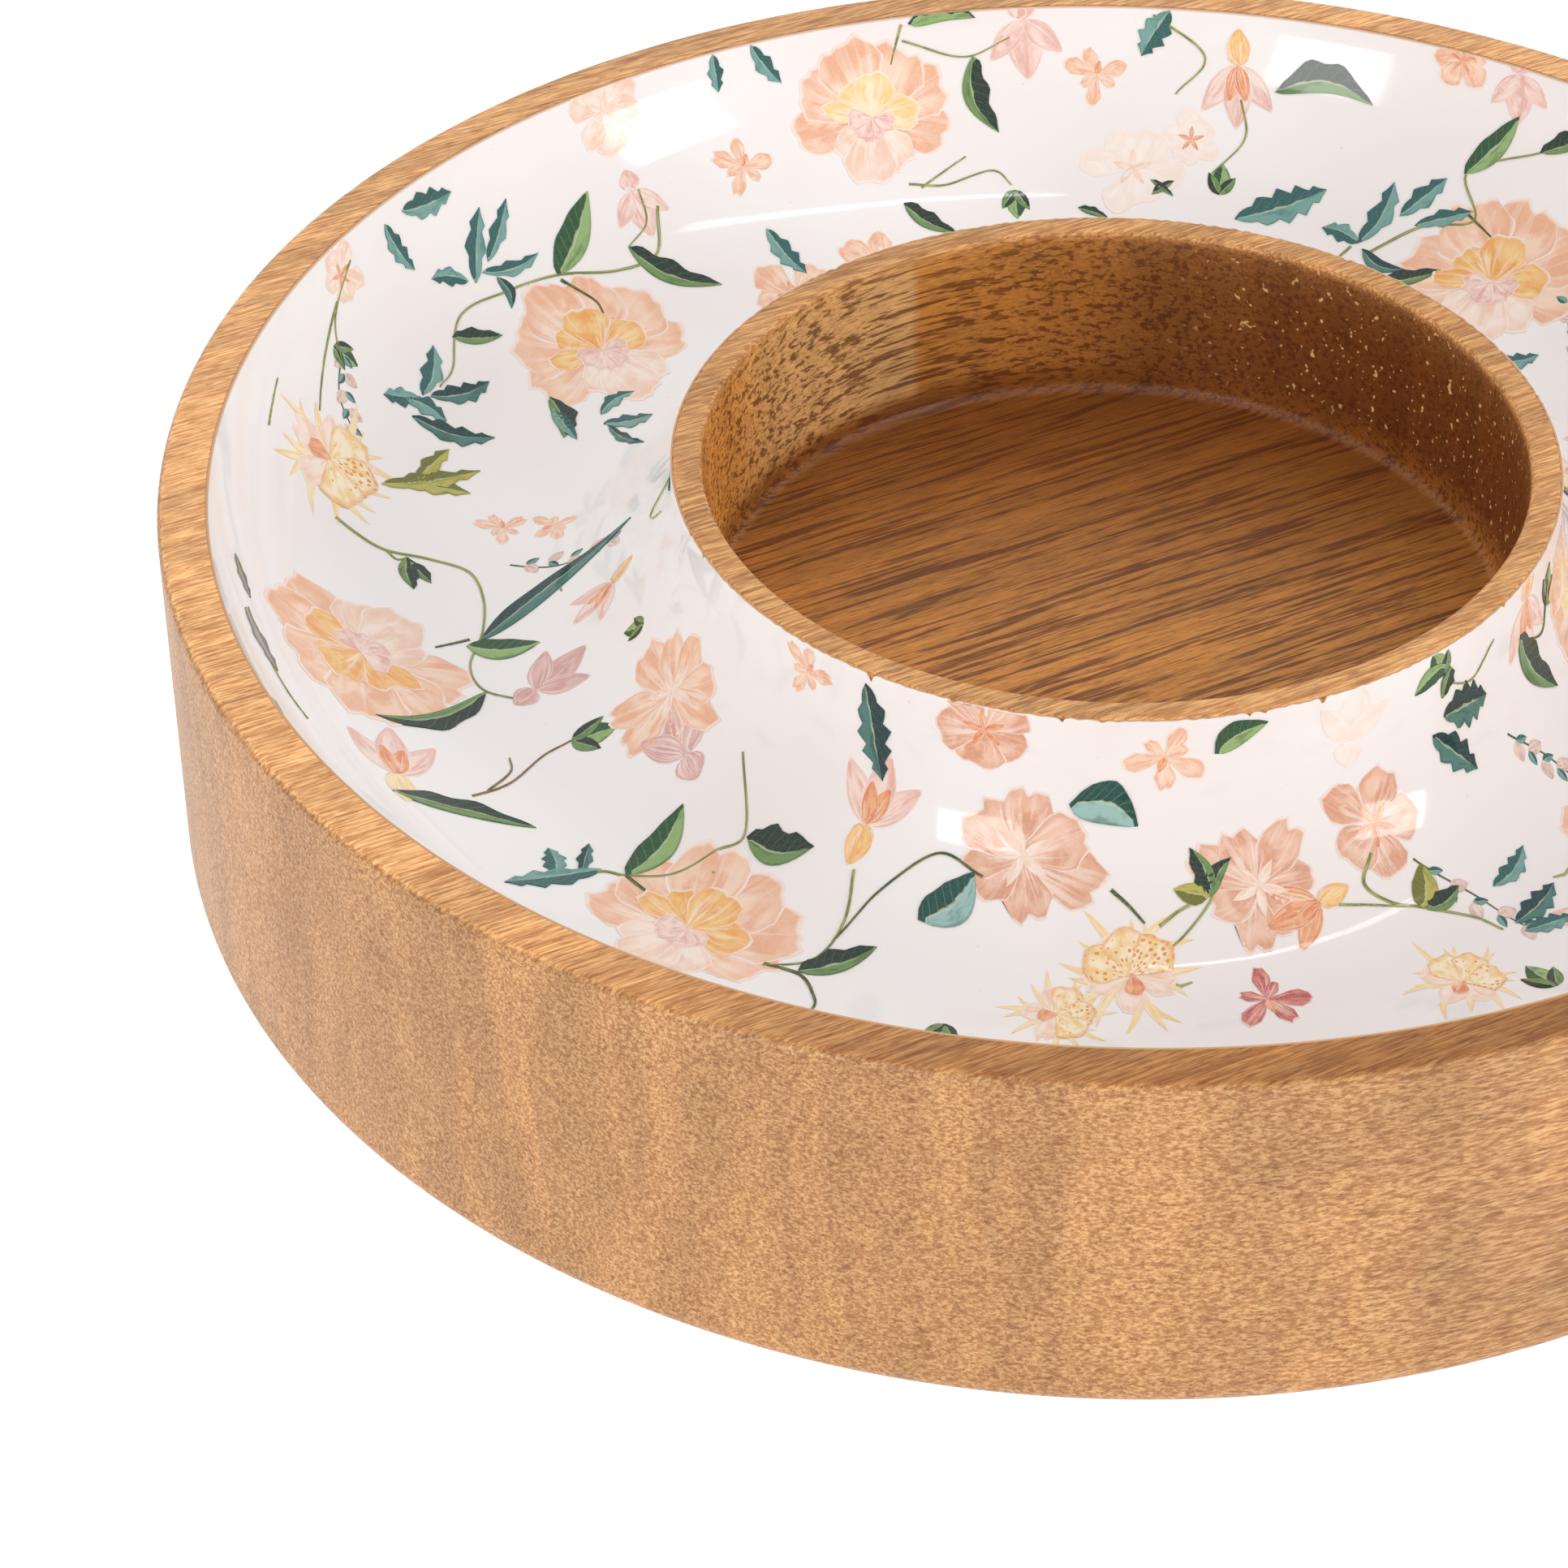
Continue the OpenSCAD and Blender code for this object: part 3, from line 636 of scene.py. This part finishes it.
# colour, angle and t of the base, angle and t of the tip, width, bend, teeth
leafPlan = [
    ("green", 140, 31, 134, 42, 6.5, 0.06, 0), ("dark", 133, 30, 127.5, 17, 6, 0.12, 0),
    ("teal", 147, 37, 143.5, 48, 5, 0, 3), ("teal", 145, 39, 141, 47, 4, 0.05, 3), ("teal", 146, 38, 140.5, 36, 3.5, 0.1, 3),
    ("teal", 147.5, 38, 150.5, 42, 4, 0.1, 3), ("deepTeal", 145, 36, 145.5, 30, 2.5, -0.2, 0),
    ("teal", 150.5, 55, 145.5, 53, 6, 0.05, 4), ("teal", 152.5, 55, 151.5, 45, 4.5, 0.05, 4),
    ("dark", 152, 32, 148, 27, 4, 0.05, 0), ("teal", 158.5, 28, 154, 33, 5, 0.1, 3), ("deepTeal", 158, 27, 152.5, 22, 5, 0.1, 4),
    ("teal", 159, 28, 161.5, 33, 4.5, 0, 3), ("deepTeal", 161, 27, 157.5, 14, 5.5, 0.1, 4),
    ("teal", 160, 30, 159, 22, 5, -0.1, 3), ("dark", 149.5, 13, 153, 5, 5.5, -0.1, 0), ("teal", 150.5, 11, 152.5, 3, 3, 0, 0),
    ("teal", 149, 2, 145, -3, 5, 0.1, 3), ("teal", 148, 4, 143, 4, 3.5, -0.1, 3), ("deepTeal", 149, 1, 150, -8, 3, 0.1, 3),
    ("teal", 121, 25, 119.5, 14, 5, 0.04, 4), ("teal", 121.5, 58, 121.5, 51, 3.5, 0, 3), ("teal", 118.5, 58, 116.5, 50, 4, 0.05, 3),
    ("green", 106.5, 57, 101.5, 57, 7, -0.2, 0), ("dark", 101.8, 50, 100.2, 36, 6, 0.16, 0),
    ("teal", 87.3, 58, 89.2, 49.5, 6.5, 0.04, 4), ("dark", 79, 45, 71.5, 45.5, 7.5, -0.16, 0),
    ("green", 63.2, 37.5, 60.3, 50, 5, 0.05, 0), ("dark", 58, 45, 54, 53, 4.5, 0.05, 0),
    ("teal", 69.5, 20, 68.3, 33, 5.5, 0.08, 3), ("teal", 67, 27, 64.3, 36, 5, 0, 3), ("teal", 65.5, 26, 61.3, 31.5, 4, 0, 3),
    ("teal", 69.5, 20, 73, 21.5, 4.5, 0.1, 3), ("deepTeal", 69, 19, 64.7, 17, 3, 0.2, 0),
    ("dark", 66.8, 12, 61.5, 19, 4.5, 0.05, 0), ("teal", 80.5, 20.5, 73.3, 29, 8, 0.04, 5),
    ("dark", 56, -2, 52.5, 6, 5, 0.1, 0), ("teal", 52, 3, 48.5, 10, 5, 0.1, 4), ("dark", 108.8, 24.5, 105, 17, 4.5, 0.1, 0),
    ("dark", 94, 21, 91.5, 19, 2.2, 0, 0), ("dark", 87.8, 24, 86, 27, 2.2, 0, 0), ("dark", 88, 27, 86, 24, 1.6, 0, 0),
    ("olive", 169.5, 24.5, 162.3, 12, 5, 0.03, 4), ("olive", 167, 20, 161.5, 18.5, 4, 0, 3), ("olive", 168, 21.5, 165.3, 11, 4.5, -0.05, 3),
    ("dark", 176.3, 15.5, 180, 13, 4.5, 0.1, 0), ("dark", 176.8, 15, 178.6, 10.5, 3.5, 0, 0),
    ("deepTeal", 186, 1, 171.5, -22, 5, -0.05, 0), ("green", 187, 3.5, 187.6, -8.5, 6, 0.08, 0),
    ("dark", 194, 1, 198.7, 20.5, 5.5, -0.12, 0), ("grey", 189.5, 48, 192.5, 44, 3, 0, 3), ("grey", 194.5, 46, 199, 40, 4.5, 0, 3),
    ("dark", 208.5, 24, 213.7, 4, 6, -0.08, 0), ("deepTeal", 176, -46, 182, -42, 5, 0, 0), ("dark", 171.5, -43, 173, -38, 4, 0, 0),
    ("teal", 222, 1, 220.3, 17, 5.5, 0.04, 4), ("teal", 220.7, 8, 217.2, 5, 4.5, 0.1, 4), ("deepTeal", 221.5, 4, 218.5, -1, 3, 0, 3),
    ("green", 224, -1, 221.6, -16, 6.5, 0.08, 0), ("dark", 230.5, -17.5, 238, -21, 8, 0.16, 0), ("dark", 244, -0.5, 249, -9.5, 6, 0.06, 0),
    ("deepTeal", 239.6, -49, 243.6, -34, 6.5, 0.05, 5), ("sage", 266.3, -36.5, 274.5, -33.5, 7, -0.2, 0),
    ("sage", 252, -15.5, 256.3, -24.5, 7, 0.14, 0), ("green", 283.5, -44.5, 290, -49, 5, -0.1, 0),
    ("dark", 282.3, -22.5, 280.3, -30, 4, 0.1, 0), ("dark", 282.3, -22.5, 284.8, -28, 3.5, -0.1, 0), ("olive", 282, -22.5, 278.2, -24, 3.5, 0, 0),
    ("deepTeal", 315.5, -39, 323.5, -38, 8.5, 0, 5), ("deepTeal", 313.3, -37, 318.5, -28.5, 6.5, 0, 4),
    ("olive", 303.8, -13.5, 306, -20, 4.5, 0.1, 0), ("dark", 304.2, -13, 308.7, -14.5, 4, 0.1, 0),
    ("teal", 312, -12, 318, -15, 4, 0.1, 4), ("deepTeal", 311, -5, 317.5, -7.5, 5, 0.05, 4), ("teal", 311, -3, 316, -1, 4, 0, 4),
    ("dark", 332.6, -42, 337.5, -29, 7.5, 0.12, 0), ("green", 335, 44, 331, 32, 6, 0.1, 0), ("dark", 345, 40, 338, 44, 6, 0.1, 0),
    ("green", 18, 30, 23, 40, 6.5, 0.08, 0), ("dark", 6, 18, 14, 12, 6.5, 0.12, 0), ("deepTeal", 25, 0, 22, 10, 6, 0, 5),
    ("teal", 32, 20, 38, 26, 5, 0, 4), ("teal", 32, 20, 29, 30, 5, 0, 4), ("dark", 40, -10, 35, -20, 6, 0.1, 0),
    ("dark", 0, -16, 4, -26, 6, 0.12, 0), ("sage", 355, 4, 348, 10, 7, 0.16, 0), ("green", 340, -20, 334, -14, 6, 0.1, 0),
    ("deepTeal", 325, 18, 320, 26, 6.5, 0, 5), ("dark", 310, 20, 303, 26, 7, 0.14, 0), ("green", 292, 34, 286, 42, 6.5, 0.1, 0),
    ("sage", 296, 12, 302, 18, 7, 0.16, 0), ("teal", 277, 32, 273, 42, 5.5, 0, 4), ("dark", 255, 12, 261, 18, 6.5, 0.12, 0),
    ("deepTeal", 240, 34, 235, 24, 6.5, 0, 5), ("green", 222, 34, 216, 28, 6, 0.1, 0), ("dark", 205, 46, 211, 52, 6, 0.1, 0),
    ("teal", 242, 16, 238, 22, 5, 0, 4), ("dark", 128, -32, 134, -24, 6, 0.1, 0), ("green", 116, -40, 110, -30, 6, 0.1, 0),
    ("sage", 90, -28, 84, -34, 7, 0.14, 0), ("deepTeal", 78, -32, 74, -22, 6, 0, 5), ("dark", 66, -18, 60, -24, 6, 0.1, 0),
    ("teal", 50, -30, 46, -38, 6, 0, 4), ("green", 132, -6, 126, -12, 6, 0.1, 0), ("dark", 20, -12, 26, -24, 6, 0.1, 0),
    ("teal", 158, -30, 154, -22, 5, 0, 4), ("green", 316, -48, 311, -45, 4, 0.1, 0), ("dark", 317, -47, 315.5, -42, 3.5, 0, 0),
]
stemPlan = [
    # width, colour, points
    (0.8, "stem", [(129, 35), (131, 27), (135, 27), (140, 31), (145, 33), (150, 34), (154, 28), (156.5, 27)]),
    (0.9, "darkStem", [(140, 30), (138.5, 24), (138.6, 21)]), (0.6, "stem", [(130, 39), (130.5, 33), (133, 30)]),
    (0.6, "stem", [(160, 50), (164, 45), (168, 40)]), (0.5, "stem", [(157, 54), (161, 48), (163, 41)]),
    (0.8, "stem", [(176, 29), (176.5, 20), (175.5, 12), (176, 5), (180, 1.5), (185, 1), (190, 3), (193.5, 1.5), (195.5, -3)]),
    (0.6, "stem", [(176.5, 19), (177, 17), (176.3, 15.5)]), (0.7, "darkStem", [(186, 3), (187.5, 8.5)]),
    (0.5, "stem", [(194, 45), (200, 40), (203, 36)]), (0.5, "stem", [(174, 47), (170, 50)]),
    (0.6, "brownStem", [(208.5, 10), (207.5, 3), (205, -4), (204.5, -9)]), (0.6, "brownStem", [(208, 7), (206, 2), (204, 1)]),
    (0.8, "stem", [(220.5, 12), (222, 2), (224, -1), (227, -6), (228.5, -13), (230, -18), (224, -28)]),
    (1.0, "darkStem", [(224, -1), (228, -0.5), (229.5, 2)]),
    (0.7, "stem", [(243.5, -20), (245, -12), (244.5, -4), (241, 1)]), (0.7, "darkStem", [(257.5, -24), (252, -26), (247, -18), (245, -8)]),
    (0.9, "darkStem", [(241, 0.5), (244.5, 0), (247, 4), (247.5, 7)]), (0.9, "darkStem", [(271.5, -24), (273.5, -21.5), (275, -19)]),
    (0.8, "stem", [(276.5, -18.5), (279, -21), (282.3, -22.5), (279, -17), (276.5, -14)]),
    (0.8, "stem", [(301, -24), (299, -20), (301, -16), (304, -13.5), (308, -9), (309.5, -5)]),
    (0.6, "stem", [(295.5, -18), (299, -16.5), (303.5, -14)]), (0.7, "stem", [(88.5, 57), (84.5, 50), (86.5, 43)]),
    (0.6, "stem", [(81.5, 43), (80.8, 36), (83, 29)]), (0.7, "stem", [(107, 57), (108, 50)]), (0.6, "stem", [(107, 54), (102.5, 50), (99, 53)]),
    (0.6, "stem", [(108, 28), (105, 27), (101, 29), (99.5, 26)]), (0.6, "stem", [(107, 27), (103, 32)]),
    (0.8, "stem", [(68.5, 18), (65, 26), (61, 30), (63, 38), (58, 45), (55.5, 50)]), (0.9, "darkStem", [(62, 31), (59, 28)]),
    (0.7, "stem", [(70, 19), (72, 10)]), (0.5, "stem", [(315.5, -45), (321, -42), (326, -46)]), (0.5, "stem", [(168, -35), (175, -30), (180, -36)]),
    (0.6, "darkStem", [(334, -40), (339, -38), (343, -44)]),
    (0.8, "stem", [(335, 30), (333, 38), (338, 44), (345, 42)]), (0.8, "stem", [(18, 30), (14, 22), (12, 12), (14, 2)]),
    (0.8, "stem", [(30, 28), (32, 20), (36, 12), (35, 8)]), (0.8, "stem", [(355, 4), (358, -6), (0, -16), (8, -24)]),
    (0.8, "stem", [(300, 30), (303, 26), (310, 20), (316, 24)]), (0.8, "stem", [(262, 24), (258, 16), (250, 12), (242, 16)]),
    (0.8, "stem", [(292, 34), (290, 26), (284, 26)]), (0.8, "stem", [(228, 20), (232, 14), (238, 22), (244, 30)]),
    (0.8, "stem", [(82, -26), (84, -34), (90, -30)]), (0.8, "stem", [(60, -30), (66, -20), (74, -22)]),
    (0.8, "stem", [(140, -26), (132, -22), (126, -14)]), (0.8, "stem", [(20, -12), (28, -22), (36, -24)]),
]
sprigPlan = [(161.5, 44, 166.5, 34), (174, -1, 173, -19), (305.5, -21, 311.5, -4), (43, 10, 50, 22), (325, -30, 330, -18),
             (350, 18, 343, 30), (285, 50, 292, 54), (229, 44, 224, 52), (150, -18, 146, -30), (104, 0, 98, -12)]
budPlan = [(82.2, 25, 0, 6), (204.5, -9, 200, 8), (99.3, 25, 180, 6), (316, -46, 150, 6), (162.5, 45, 160, 6), (196, -28, 30, 5),
           (28, 50, 0, 7), (10, 42, 0, 7), (258, 2, 0, 6), (308, 10, 180, 7), (342, -40, 200, 7), (134, -46, 0, 7)]


def layPrint():
    for angle, t, turn, size, inner in bloomPlan:
        blossom((angle, t, turn), size, inner=inner)
    for angle, t, turn, size, color, count, notch, slim in openPlan:
        openBlossom((angle, t, turn), size, color, count, 5, notch, slim)
    for angle, t, turn, size, color in crossPlan:
        crossFlower((angle, t, turn), size, color)
    for angle, t, turn, size, outer, inner in tulipPlan:
        tulip((angle, t, turn), size, outer, inner)
    for angle, t, turn, size, color in shadePlan:
        tulipShade((angle, t, turn), size, color)
    for angle, t, turn, size in dottedPlan:
        dottedFlower((angle, t, turn), size)
    for color, angle1, t1, angle2, t2, width, bend, teeth in leafPlan:
        leaf(color, angle1, t1, angle2, t2, width, bend, teeth, level=12)
    for width, color, points in stemPlan:
        stem(points, width, color, level=10)
    for sprig in sprigPlan:
        budSprig(*sprig)
    for angle, t, turn, size in budPlan:
        greenBud((angle, t, turn), size)


# Ink on enamel. Petals: the two tones mix in soft clouds, with a darker rim and pale strokes along the petal.
# Leaves: one tone each side of a pale midrib, with fine side veins. Dotted: dark dots on a pale ground.
def inkMaterial(name, kind):
    m = newMaterial(name)
    grid = addNode(m, "ShaderNodeAttribute", attribute_name="grid").outputs["Vector"]
    toneA = addNode(m, "ShaderNodeAttribute", attribute_name="toneA").outputs["Color"]
    toneB = addNode(m, "ShaderNodeAttribute", attribute_name="toneB").outputs["Color"]
    parts = addNode(m, "ShaderNodeSeparateXYZ", {"Vector": grid})
    s, w, seed = parts.outputs
    wide = mathNode(m, "ABSOLUTE", w)
    place = addNode(m, "ShaderNodeTexCoord").outputs["Object"]

    def spread(along, across):
        return addNode(m, "ShaderNodeVectorMath", {0: grid, 1: (along, across, 3.7)}, operation="MULTIPLY").outputs[0]

    grain = noise(m, place, 2600.0, 2, 0.7)
    if kind == "petal":
        cloud = noise(m, spread(1.9, 1.1), 1.0, 3, 0.6, 0.4)
        color = mixColor(m, ramp(m, cloud, 0.36, 0.62), toneA, toneB)
        edge = mathNode(m, "MAXIMUM", wide, s)
        color = mixColor(m, mathNode(m, "MULTIPLY", ramp(m, edge, 0.70, 0.93), 0.50), color, toneA)
        strokes = noise(m, spread(0.9, 5.0), 1.0, 2, 0.5)
        pale = mathNode(m, "MULTIPLY", ramp(m, strokes, 0.50, 0.62), ramp(m, s, 1.0, 0.1, 0.15, 0.62))
        color = mixColor(m, pale, color, paint(254, 242, 232))
        color = mixColor(m, mathNode(m, "MULTIPLY", ramp(m, edge, 0.93, 0.985), 0.75), color, paint(252, 240, 234))
    elif kind == "leaf":
        wave = noise(m, spread(6.0, 2.0), 1.0, 2, 0.5)
        sideways = mathNode(m, "ADD", w, ramp(m, wave, 0.0, 1.0, -0.12, 0.12))
        color = mixColor(m, ramp(m, sideways, -0.05, 0.05), toneA, toneB)
        vein = mathNode(m, "SINE", mathNode(m, "MULTIPLY", mathNode(m, "SUBTRACT", s, mathNode(m, "MULTIPLY", wide, 0.16)), 52.0))
        color = mixColor(m, mathNode(m, "MULTIPLY", ramp(m, vein, 0.86, 1.0), 0.22), color, toneB)
        color = mixColor(m, mathNode(m, "MULTIPLY", ramp(m, noise(m, spread(3.0, 1.5), 1.0, 3, 0.6), 0.48, 0.66), 0.45), color, toneA)
        color = mixColor(m, mathNode(m, "MULTIPLY", ramp(m, wide, 0.82, 0.98), 0.35), color, toneA)
        rib = ramp(m, mathNode(m, "ABSOLUTE", sideways), 0.09, 0.03, 0.0, 0.55)
        color = mixColor(m, mathNode(m, "MULTIPLY", rib, ramp(m, s, 0.95, 0.6)), color, paint(206, 216, 182))
    elif kind == "dotted":
        dots = addNode(m, "ShaderNodeTexVoronoi", {"Vector": addNode(m, "ShaderNodeVectorMath", {
            0: grid, 1: (6.5, 3.4, 1.0)}, operation="MULTIPLY").outputs[0], "Scale": 1.0, "Randomness": 0.45})
        color = mixColor(m, ramp(m, noise(m, spread(3.0, 2.0), 1.0, 2, 0.5), 0.36, 0.60), toneA, paint(253, 236, 206))
        color = mixColor(m, ramp(m, dots.outputs["Distance"], 0.36, 0.24), color, paint(230, 146, 74))
        color = mixColor(m, mathNode(m, "MULTIPLY", ramp(m, mathNode(m, "MAXIMUM", wide, s), 0.8, 0.97), 0.6), color,
                         paint(236, 170, 100))
    else:
        wave = noise(m, spread(9.0, 0.8), 1.0, 2, 0.5)
        color = mixColor(m, ramp(m, wave, 0.4, 0.6), toneA, toneB)
    dust = 0.14 if kind in ("petal", "dotted") else 0.04
    color = mixColor(m, ramp(m, grain, 0.35, 0.75, 0.0, dust), color, paint(246, 236, 230))
    wave = noise(m, place, 22.0, 2, 0.4)
    bump = addNode(m, "ShaderNodeBump", {"Height": wave, "Strength": 0.3, "Distance": 0.0004})
    finishMaterial(m, color=color, roughness=lining["roughness"], normal=bump.outputs[0], ior=lining["ior"])
    return m


# All patches of one kind in one mesh. A patch's rings are joined row to row and closed at base and tip.
def printPiece(name, kind):
    points, faces, grids, tonesA, tonesB = [], [], [], [], []
    first = 0
    for loop, grid, (toneA, toneB) in patches[kind]:
        rows, columns = loop.shape[:2]
        points.append(loop.reshape(-1, 3))
        grids.append(grid.reshape(-1, 3))
        tonesA.append(np.repeat([paint(*toneA)], rows * columns, 0))
        tonesB.append(np.repeat([paint(*toneB)], rows * columns, 0))
        faces += gridFaces(rows, columns, closed=True, first=first).tolist()
        j = np.arange(columns // 2 - 1)
        cap = first + np.stack([j, j + 1, columns - 2 - j, columns - 1 - j], -1)
        faces += cap[:, ::-1].tolist() + (cap + (rows - 1) * columns).tolist()
        first += rows * columns
    mesh = bpy.data.meshes.new(name)
    mesh.from_pydata(np.concatenate(points).tolist(), [], faces)
    for label, data, size in (("grid", grids, "FLOAT_VECTOR"), ("toneA", tonesA, "FLOAT_COLOR"),
                              ("toneB", tonesB, "FLOAT_COLOR")):
        attribute = mesh.attributes.new(label, size, "POINT")
        attribute.data.foreach_set("vector" if size == "FLOAT_VECTOR" else "color",
                                   np.concatenate(data).astype(np.float32).ravel())
    piece = finishPiece(name, mesh, inkMaterial(kind + "Ink", kind), 50, 2e-7)
    return piece


# Boards: glue faces, grain shift, warmth, and the strength of the pale block (paler wood with a painted patch of key
# light)
boardLooks = {
    "front_board": (-1.0, -plate["frontSeam"], (31.0, 7.0, 3.0), 1.0, 0.0),
    "middle_board": (-plate["frontSeam"], plate["rearSeam"], (0.0, 0.0, 0.0), 1.0, 0.8),
    "rear_board": (plate["rearSeam"], 1.0, (-47.0, 19.0, 11.0), 0.97, 0.75),
}
for nodeName, (low, high, shift, warmth, paleAndLitBlockAmount) in boardLooks.items():
    made = board("turned_" + nodeName, low, high, boardMaterial("mango_" + nodeName, shift, warmth, paleAndLitBlockAmount))
    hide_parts(nodeName)
print("boards turned")

liningSkin(liningMaterial())
print("channel lined")

layPrint()
for kind, pieceName in (("petal", "print_petals"), ("leaf", "print_leaves"), ("stem", "print_stems"),
                        ("dotted", "print_seed_heads")):
    made = printPiece(pieceName, kind)
    if kind == "petal":
        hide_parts("printed_film")
print("flowers printed")

# Camera and studio light
studio = {
    "lens": 111.5, "cameraPlace": (0.0, -0.6342, 0.4307), "yaw": -0.083, "pitch": 0.666, "roll": -0.011,
    "worldStrength": 0.85, "keyPower": 3.5, "fillPower": 3.1, "stripPower": 0.40, "floorGlow": 0.95,
}


def aimedCamera():
    data = bpy.data.cameras.new("camera")
    data.lens, data.sensor_width = studio["lens"], 36
    data.clip_start, data.clip_end = 0.05, 30
    camera = bpy.data.objects.new("camera", data)
    bpy.context.scene.collection.objects.link(camera)
    yaw, pitch, roll = studio["yaw"], studio["pitch"], studio["roll"]
    ahead = np.array([math.sin(yaw) * math.cos(pitch), math.cos(yaw) * math.cos(pitch), -math.sin(pitch)])
    right = np.array([math.cos(yaw), -math.sin(yaw), 0.0])
    up = np.cross(right, ahead)
    turnedRight = math.cos(roll) * right + math.sin(roll) * up
    turnedUp = -math.sin(roll) * right + math.cos(roll) * up
    x, y, z = studio["cameraPlace"]
    world = np.eye(4)
    world[:3, 0], world[:3, 1], world[:3, 2] = turnedRight, turnedUp, -ahead
    world[:3, 3] = (x, y, z + plate["height"])
    camera.matrix_world = Matrix(world.tolist())
    bpy.context.scene.camera = camera


# A flat lamp at azimuth and elevation (degrees) seen from the plate's middle, facing it.
def softbox(name, azimuth, elevation, distance, width, height, power, spin=0.0):
    data = bpy.data.lights.new(name, "AREA")
    data.shape, data.size, data.size_y, data.energy = "RECTANGLE", width, height, power
    a, e = math.radians(azimuth), math.radians(elevation)
    back = np.array([math.cos(a) * math.cos(e), math.sin(a) * math.cos(e), math.sin(e)])
    right = np.array([-math.sin(a), math.cos(a), 0.0])
    up = np.cross(back, right)
    s = math.radians(spin)
    world = np.eye(4)
    world[:3, 0] = math.cos(s) * right + math.sin(s) * up
    world[:3, 1] = -math.sin(s) * right + math.cos(s) * up
    world[:3, 2] = back
    world[:3, 3] = back * distance + np.array([0, 0, plate["height"]])
    lamp = bpy.data.objects.new(name, data)
    bpy.context.scene.collection.objects.link(lamp)
    lamp.matrix_world = Matrix(world.tolist())


def paleFloor():
    m = newMaterial("paleFloor")
    place = addNode(m, "ShaderNodeTexCoord").outputs["Object"]
    cloud = noise(m, place, 3.0, 2, 0.5)
    color = mixColor(m, cloud, (0.24, 0.24, 0.24, 1), (0.26, 0.26, 0.26, 1))
    shader = addNode(m, "ShaderNodeBsdfPrincipled", {
        "Base Color": color, "Roughness": 0.9, "Specular IOR Level": 0.1,
        "Emission Color": (1, 1, 1, 1), "Emission Strength": studio["floorGlow"]})
    addNode(m, "ShaderNodeOutputMaterial", {"Surface": shader.outputs[0]})
    a = np.linspace(0, 2 * math.pi, 64, endpoint=False)
    ring = np.stack([6 * np.cos(a), 6 * np.sin(a), 0 * a - 0.0002], -1)
    mesh = bpy.data.meshes.new("floor")
    mesh.from_pydata(ring.tolist(), [], [list(range(64))])
    mesh.materials.append(m)
    floor = bpy.data.objects.new("floor", mesh)
    bpy.context.scene.collection.objects.link(floor)


def whiteRoom():
    world = bpy.data.worlds.new("room")
    world.use_nodes = True
    world.node_tree.nodes["Background"].inputs["Color"].default_value = (1, 1, 1, 1)
    world.node_tree.nodes["Background"].inputs["Strength"].default_value = studio["worldStrength"]
    bpy.context.scene.world = world


aimedCamera()
softbox("rightBox", -24, 16, 1.2, 0.31, 0.56, studio["keyPower"])
softbox("leftBox", -117, 16, 1.2, 0.33, 0.56, studio["fillPower"])
softbox("stripA", 5, 71, 1.5, 0.008, 0.8, studio["stripPower"])
softbox("stripB", 2, 71, 1.5, 0.008, 0.8, studio["stripPower"])
paleFloor()
whiteRoom()
bpy.context.scene.view_settings.view_transform = "Standard"
print("studio set")
